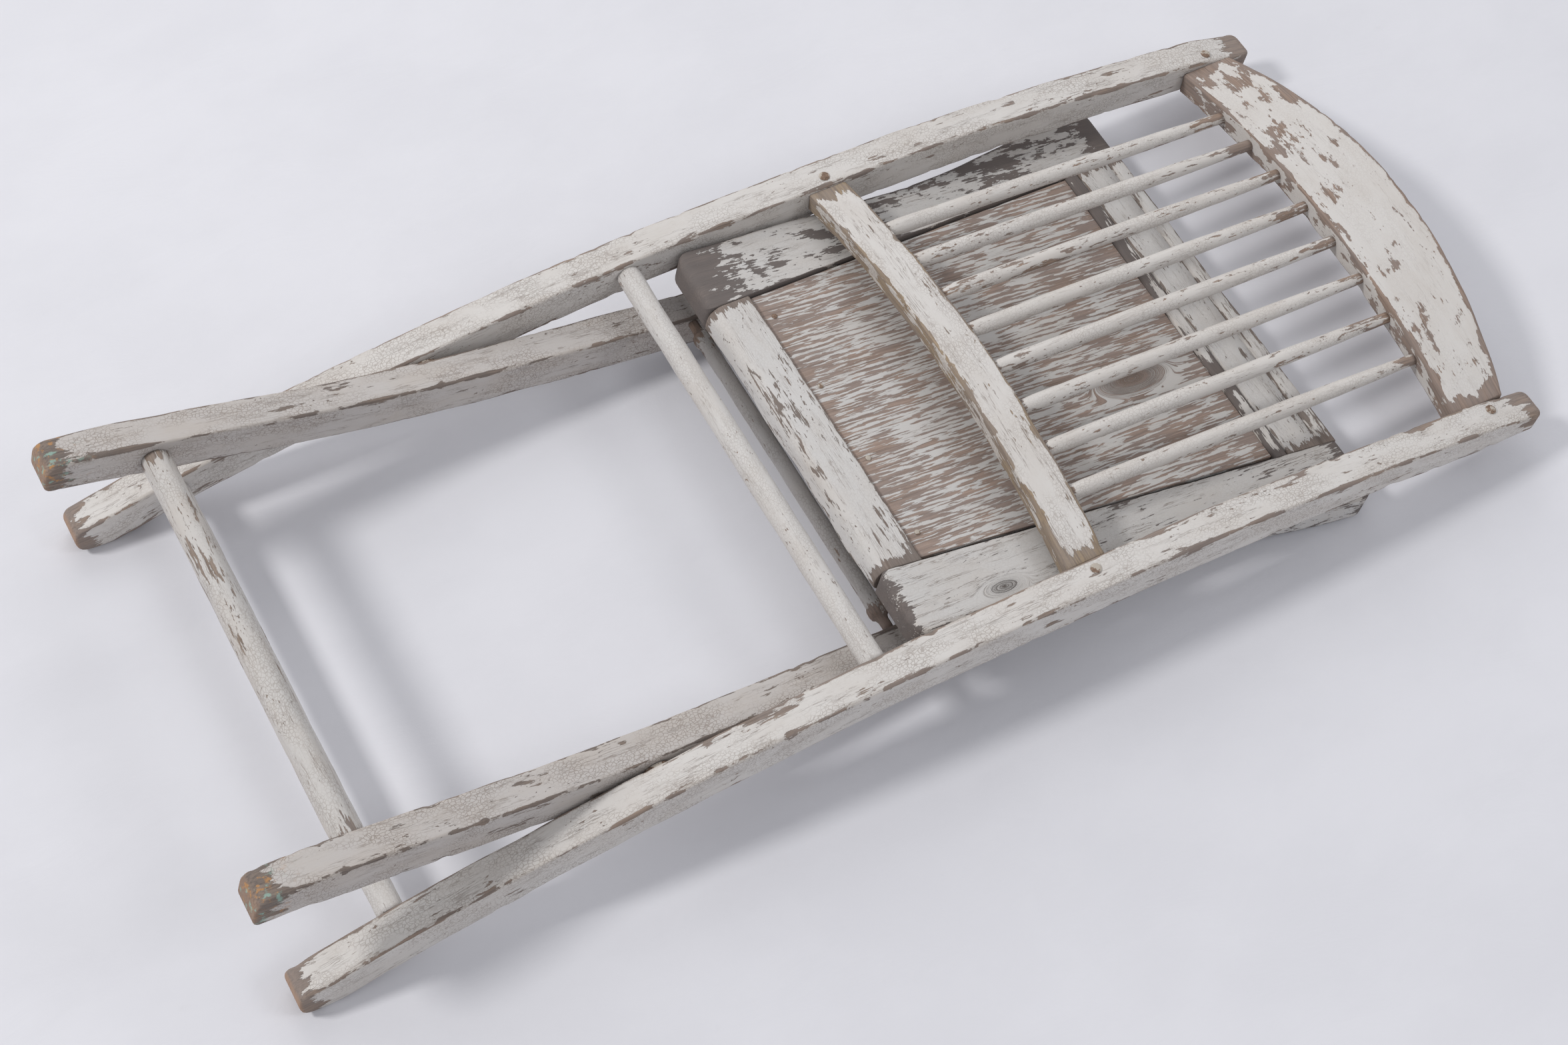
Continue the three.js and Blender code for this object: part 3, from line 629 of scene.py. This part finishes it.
for i in range(SPINDLES):
    y = ((SPINDLES - 1) / 2 - i) * SPINDLE_PITCH
    a = at_row(lower_rail_x(y) + RAIL_WIDTH / 2 - 1.0, y, lower_rail_z(y))
    b = at_row(CREST_EDGE + 1.0, y, crest_z(y))
    span = math.dist(a, b)
    profile = [(0, SPINDLE_R - 0.9), (14, SPINDLE_R), (span * 0.62, SPINDLE_R),
               (span * 0.82, SPINDLE_R - 0.7), (span * 0.94, SPINDLE_END_R + 0.3), (span, SPINDLE_END_R)]
    rod = turned(f"shown_spindle_{i + 1}", a, b, profile, 11.0 + i * 1.7, reach=(4, 34), wobble=0.35)
    show(rod, f"spindle_{i + 1}", "back_frame", "spindle")


def cross_bar(name, node, body, bar, half, seed, material="stretcher"):
    x, z, radius = bar
    profile = [(0, radius - 0.4), (3, radius), (2 * half - 3, radius), (2 * half, radius - 0.4)]
    shown = turned(name, at_row(x, -half, z), at_row(x, half, z), profile, seed, sides=36, reach=(10, 10),
                   wobble=0.5, flats=1.0)
    show(shown, node, body, material)


cross_bar("shown_upper_stretcher", "upper_stretcher", "back_frame", UPPER_BAR,
          HALF + BAR_INTO_STILE, 3.3)
cross_bar("shown_stile_foot_stretcher", "stile_foot_stretcher", "back_frame", STILE_FOOT_BAR,
          HALF + BAR_INTO_STILE, 4.1)
cross_bar("shown_leg_foot_stretcher", "leg_foot_stretcher", "leg_frame", LEG_FOOT_BAR,
          leg_outer(LEG_FOOT_BAR[0] + LEG_FOOT_BAR[2]) - LEG_WIDTH - GAP + BAR_INTO_LEG, 6.2,
          material="foot_stretcher")

# The bar between the legs' top ends has a knob and then a thin neck at each end. KNOB lists
# (distance from the bar's middle, radius).
ROD_HALF = leg_outer(ROD_X + ROD_NECK_R) - LEG_WIDTH
near = [(0, ROD_END_R)] + [(ROD_HALF - d, r) for d, r in KNOB]
profile = near + [(2 * ROD_HALF - d, r) for d, r in reversed(near)]
rod = turned("shown_leg_top_rod", at_row(ROD_X, -ROD_HALF, ROD_Z), at_row(ROD_X, ROD_HALF, ROD_Z),
             profile, 8.8, reach=(26, 26), wobble=0.5)
show(rod, "leg_top_rod", "leg_frame", "rod")

# ---- seat -----------------------------------------------------------------------------------
seat_turn = Matrix.Rotation(SEAT_TILT, 3, "Y")


def at_seat(u, y, w):
    x, _, z = seat_turn @ Vector((u, 0, w))
    return at_row(SEAT_PIVOT[0] + x, y, SEAT_PIVOT[1] + z)


def flare(u):
    return SEAT_REAR_OUTER + (SEAT_FRONT_OUTER - SEAT_REAR_OUTER) * ease(u, FLARE_START, FLARE_END)


def seat_outer(u):
    outer = flare(u)
    if u > SEAT_FRONT - FRONT_CORNER_R:
        over = u - (SEAT_FRONT - FRONT_CORNER_R)
        drop = FRONT_CORNER_R - math.sqrt(max(FRONT_CORNER_R ** 2 - over * over, 0))
        outer = flare(SEAT_FRONT - FRONT_CORNER_R) - drop
    if u < SEAT_REAR + REAR_CORNER_R:
        over = SEAT_REAR + REAR_CORNER_R - u
        outer -= REAR_CORNER_R - math.sqrt(max(REAR_CORNER_R ** 2 - over * over, 0))
    return outer


marks = [SEAT_REAR + REAR_CORNER_R * (1 - math.cos(math.pi / 2 * k / 8)) for k in range(9)]
marks += steps(SEAT_REAR + REAR_CORNER_R + 2, SEAT_FRONT - FRONT_CORNER_R - 2, 4)
marks += [SEAT_FRONT - FRONT_CORNER_R + FRONT_CORNER_R * math.sin(math.pi / 2 * k / 12) for k in range(13)]
for word, side, seed in (("left", 1, 9.0), ("right", -1, NEAR_SEED)):
    def rail_at(s, side=side):
        low, high = seat_inner(s), seat_outer(s)
        return (low, high, -TOP, TOP) if side > 0 else (-high, -low, -TOP, TOP)
    radii = (0.8, 3.5, 3.5, 0.8) if side > 0 else (3.5, 0.8, 0.8, 3.5)
    # Both rails' inner faces, beside the panel, are left as bare weathered wood, darker than the paint; along
    # the gaps this also stands as painted shade.
    rail = sweep(f"shown_seat_side_rail_{word}", rail_at, marks, at_seat, radii, seed, ends=(6.0, 5.0),
                 reach=(34, 30) if side > 0 else (12, 24), chips=0.4,
                 faces=(0, 0, 3, 0) if side > 0 else (3, 0, 0, 0))
    show(rail, f"seat_side_rail_{word}", "seat", "seat_far" if side > 0 else "seat_near")


def cross_board(name, node, near, far, low, high, radii, seed, material, top=(), faces=(0, 0, 0, 0)):
    half = seat_inner((near + far) / 2) - GAP

    def place(s, a, b):
        return at_seat(a, s * (seat_inner(a) - GAP) / half, b)

    board = sweep(name, lambda s: (near, far, low, high), steps(-half, half, 4), place, radii, seed,
                  ends=(0.8, 0.8), reach=(8, 8), chips=0.4, top=top, wobble=0.12, faces=faces)
    show(board, node, "seat", material)


cross_board("shown_seat_rear_rail", "seat_rear_rail", SEAT_REAR, REAR_RAIL_EDGE - 0.3, -TOP, TOP,
            (9.0, 1.0, 2.0, 10.5), 12.5, "seat_rail", faces=(2.5, 0, 0, 0))
# A shallow groove along the front rail, as (u, depth, wear).
groove = [(334, 0, 0.1), (328.6, 0, 0.4), (327.8, 1.4, 0.9), (326.6, 1.8, 1.0), (325.6, 1.2, 0.8),
          (325.0, 0, 0.3), (312, 0, 0.0), (301, 0, 0.1)]
cross_board("shown_seat_front_rail", "seat_front_rail", FRONT_RAIL_EDGE, SEAT_FRONT, -TOP, TOP,
            (1.0, 3.0, 3.5, 1.5), 13.5, "seat_rail", top=groove)
cross_board("shown_seat_bead", "seat_bead", BEAD_EDGE, FRONT_RAIL_EDGE - GAP, 1.0, TOP - 0.8,
            (0.5, 0.5, 1.5, 3.5), 14.5, "bead")


def panel_at(s):
    half = seat_inner(s) - PANEL_SIDE_GAP
    return (PANEL_SHIFT - half, PANEL_SHIFT + half, PANEL_LOW, PANEL_HIGH)


panel = sweep("shown_seat_panel", panel_at, steps(PANEL_NEAR, PANEL_FAR, 4), at_seat,
              (0.6, 0.6, 0.8, 0.8), PANEL_SEED, ends=(0.6, 0.6), reach=(12, 16), chips=0.3, wobble=0.1)
show(panel, "seat_panel", "seat", "panel")
# A near-black strip lies down in each gap between the panel and a side rail: painted shade for the dark gap
# lines.
for word, side in (("left", 1), ("right", -1)):
    def crevice(s, side=side):
        rail_edge = side * (seat_inner(s) - 0.3)
        board_edge = side * (seat_inner(s) - PANEL_SIDE_GAP + 0.3) + PANEL_SHIFT
        return (*sorted((rail_edge, board_edge)), 1.5, 6.5)
    dirt_and_gap_shade = sweep(f"gap_shadow_strip_{word}", crevice, steps(PANEL_NEAR + 1, PANEL_FAR - 1, 6), at_seat,
                 (0.3,) * 4, 21.0 + side, ends=(0.3, 0.3), chips=0.0, wobble=0.05)
    dirt_and_gap_shade.data.materials.append(M["painted_gap_shade"])
    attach(dirt_and_gap_shade, "seat")

# ---- iron and hidden wood -------------------------------------------------------------------
for node, obj in NODES.items():
    material = None
    if "screw" in node or "nail" in node or "pivot" in node:
        material = "rust"
    elif "batten" in node or "stop" in node:
        material = "hidden"
    if material:
        obj.data.materials.clear()
        obj.data.materials.append(M[material])

# ---- floor, light and camera ----------------------------------------------------------------
floor_mesh = bpy.data.meshes.new("floor")
floor_corners = [(a * FLOOR_HALF, b * FLOOR_HALF, 0) for a, b in ((-1, -1), (1, -1), (1, 1), (-1, 1))]
floor_mesh.from_pydata(floor_corners, [], [(0, 1, 2, 3)])
floor = bpy.data.objects.new("floor", floor_mesh)
bpy.context.scene.collection.objects.link(floor)
floor.location.z = -FLOOR_DROP
t = Tree("floor_paper")
spot = t.node("ShaderNodeTexCoord", {}, "Object")
cloud = t.noise(t.scaled(spot, (5.0, 7.0, 5.0)), 5, 0.6)
smudge = t.smooth(t.noise(t.scaled(spot, (26.0, 34.0, 26.0)), 6, 0.65), 0.66, 0.80)
paper = t.mix(t.smooth(cloud, 0.35, 0.65), (0.705, 0.705, 0.745), (0.735, 0.735, 0.775))
t.put(t.shader.inputs["Base Color"], t.mix(t.math("MULTIPLY", smudge, 0.25), paper, (0.60, 0.59, 0.61)))
wrinkle = t.noise(t.scaled(spot, (9.0, 16.0, 9.0)), 7, 0.62, 0.8)
bump = t.node("ShaderNodeBump", {"Strength": 0.25, "Distance": 3 * MM, "Height": wrinkle})
t.put(t.shader.inputs["Normal"], bump)
t.shader.inputs["Roughness"].default_value = 0.8
floor_mesh.materials.append(t.material)
# The floor follows the back as it opens, and ends about 1.5 to 3 mm under the open chair's feet.
for kind in ("LOCATION", "ROTATION"):
    follow = floor.constraints.new("TRANSFORM")
    follow.target = bpy.data.objects["body:back_frame"]
    follow.map_from = "ROTATION"
    follow.from_rotation_mode = "SWING_TWIST_Y"
    follow.from_min_y_rot = -OPEN_ANGLE
    follow.map_to = kind
    follow.map_to_y_from = "Y"
    follow.map_to_z_from = "Y"
    if kind == "LOCATION":
        follow.to_min_z = -OPEN_DROP * MM
    else:
        follow.to_min_y_rot = OPEN_TILT


def area_light(name, place, target, size, power, color):
    data = bpy.data.lights.new(name, "AREA")
    data.shape = "DISK"
    data.size = size
    data.energy = power
    data.color = color
    lamp = bpy.data.objects.new(name, data)
    lamp.location = place
    lamp.rotation_euler = (Vector(target) - Vector(place)).to_track_quat("-Z", "Y").to_euler()
    bpy.context.scene.collection.objects.link(lamp)


area_light("key", (-3.3, 1.2, 3.6), (0, 0, 0), size=0.93, power=108, color=(1.0, 0.985, 0.965))
area_light("fill", (1.6, -1.6, 2.2), (0, 0, 0), size=1.0, power=13, color=(0.97, 0.98, 1.0))
area_light("back", (0.8, 2.6, 2.0), (0, 0.2, 0), size=3.0, power=30, color=(1.0, 1.0, 1.0))
world = bpy.data.worlds.new("studio")
world.use_nodes = True
background = world.node_tree.nodes["Background"]
background.inputs["Color"].default_value = (0.95, 0.96, 1.0, 1)
background.inputs["Strength"].default_value = 0.50
bpy.context.scene.world = world

camera_data = bpy.data.cameras.new("camera")
camera_data.sensor_width = 36
camera_data.lens = 63.55
camera_data.clip_end = 50
camera = bpy.data.objects.new("camera", camera_data)
right = Vector((0.87543528, -0.48003084, 0.05642217))
up = Vector((0.38097205, 0.75715207, 0.5306421))
back = right.cross(up)
turn = Matrix((right, up, back)).transposed().to_4x4()
camera.matrix_world = Matrix.Translation((-0.1349 - ORIGIN_X * MM, -0.8917, 1.6700)) @ turn
bpy.context.scene.collection.objects.link(camera)
bpy.context.scene.camera = camera
bpy.context.scene.view_settings.view_transform = "Standard"
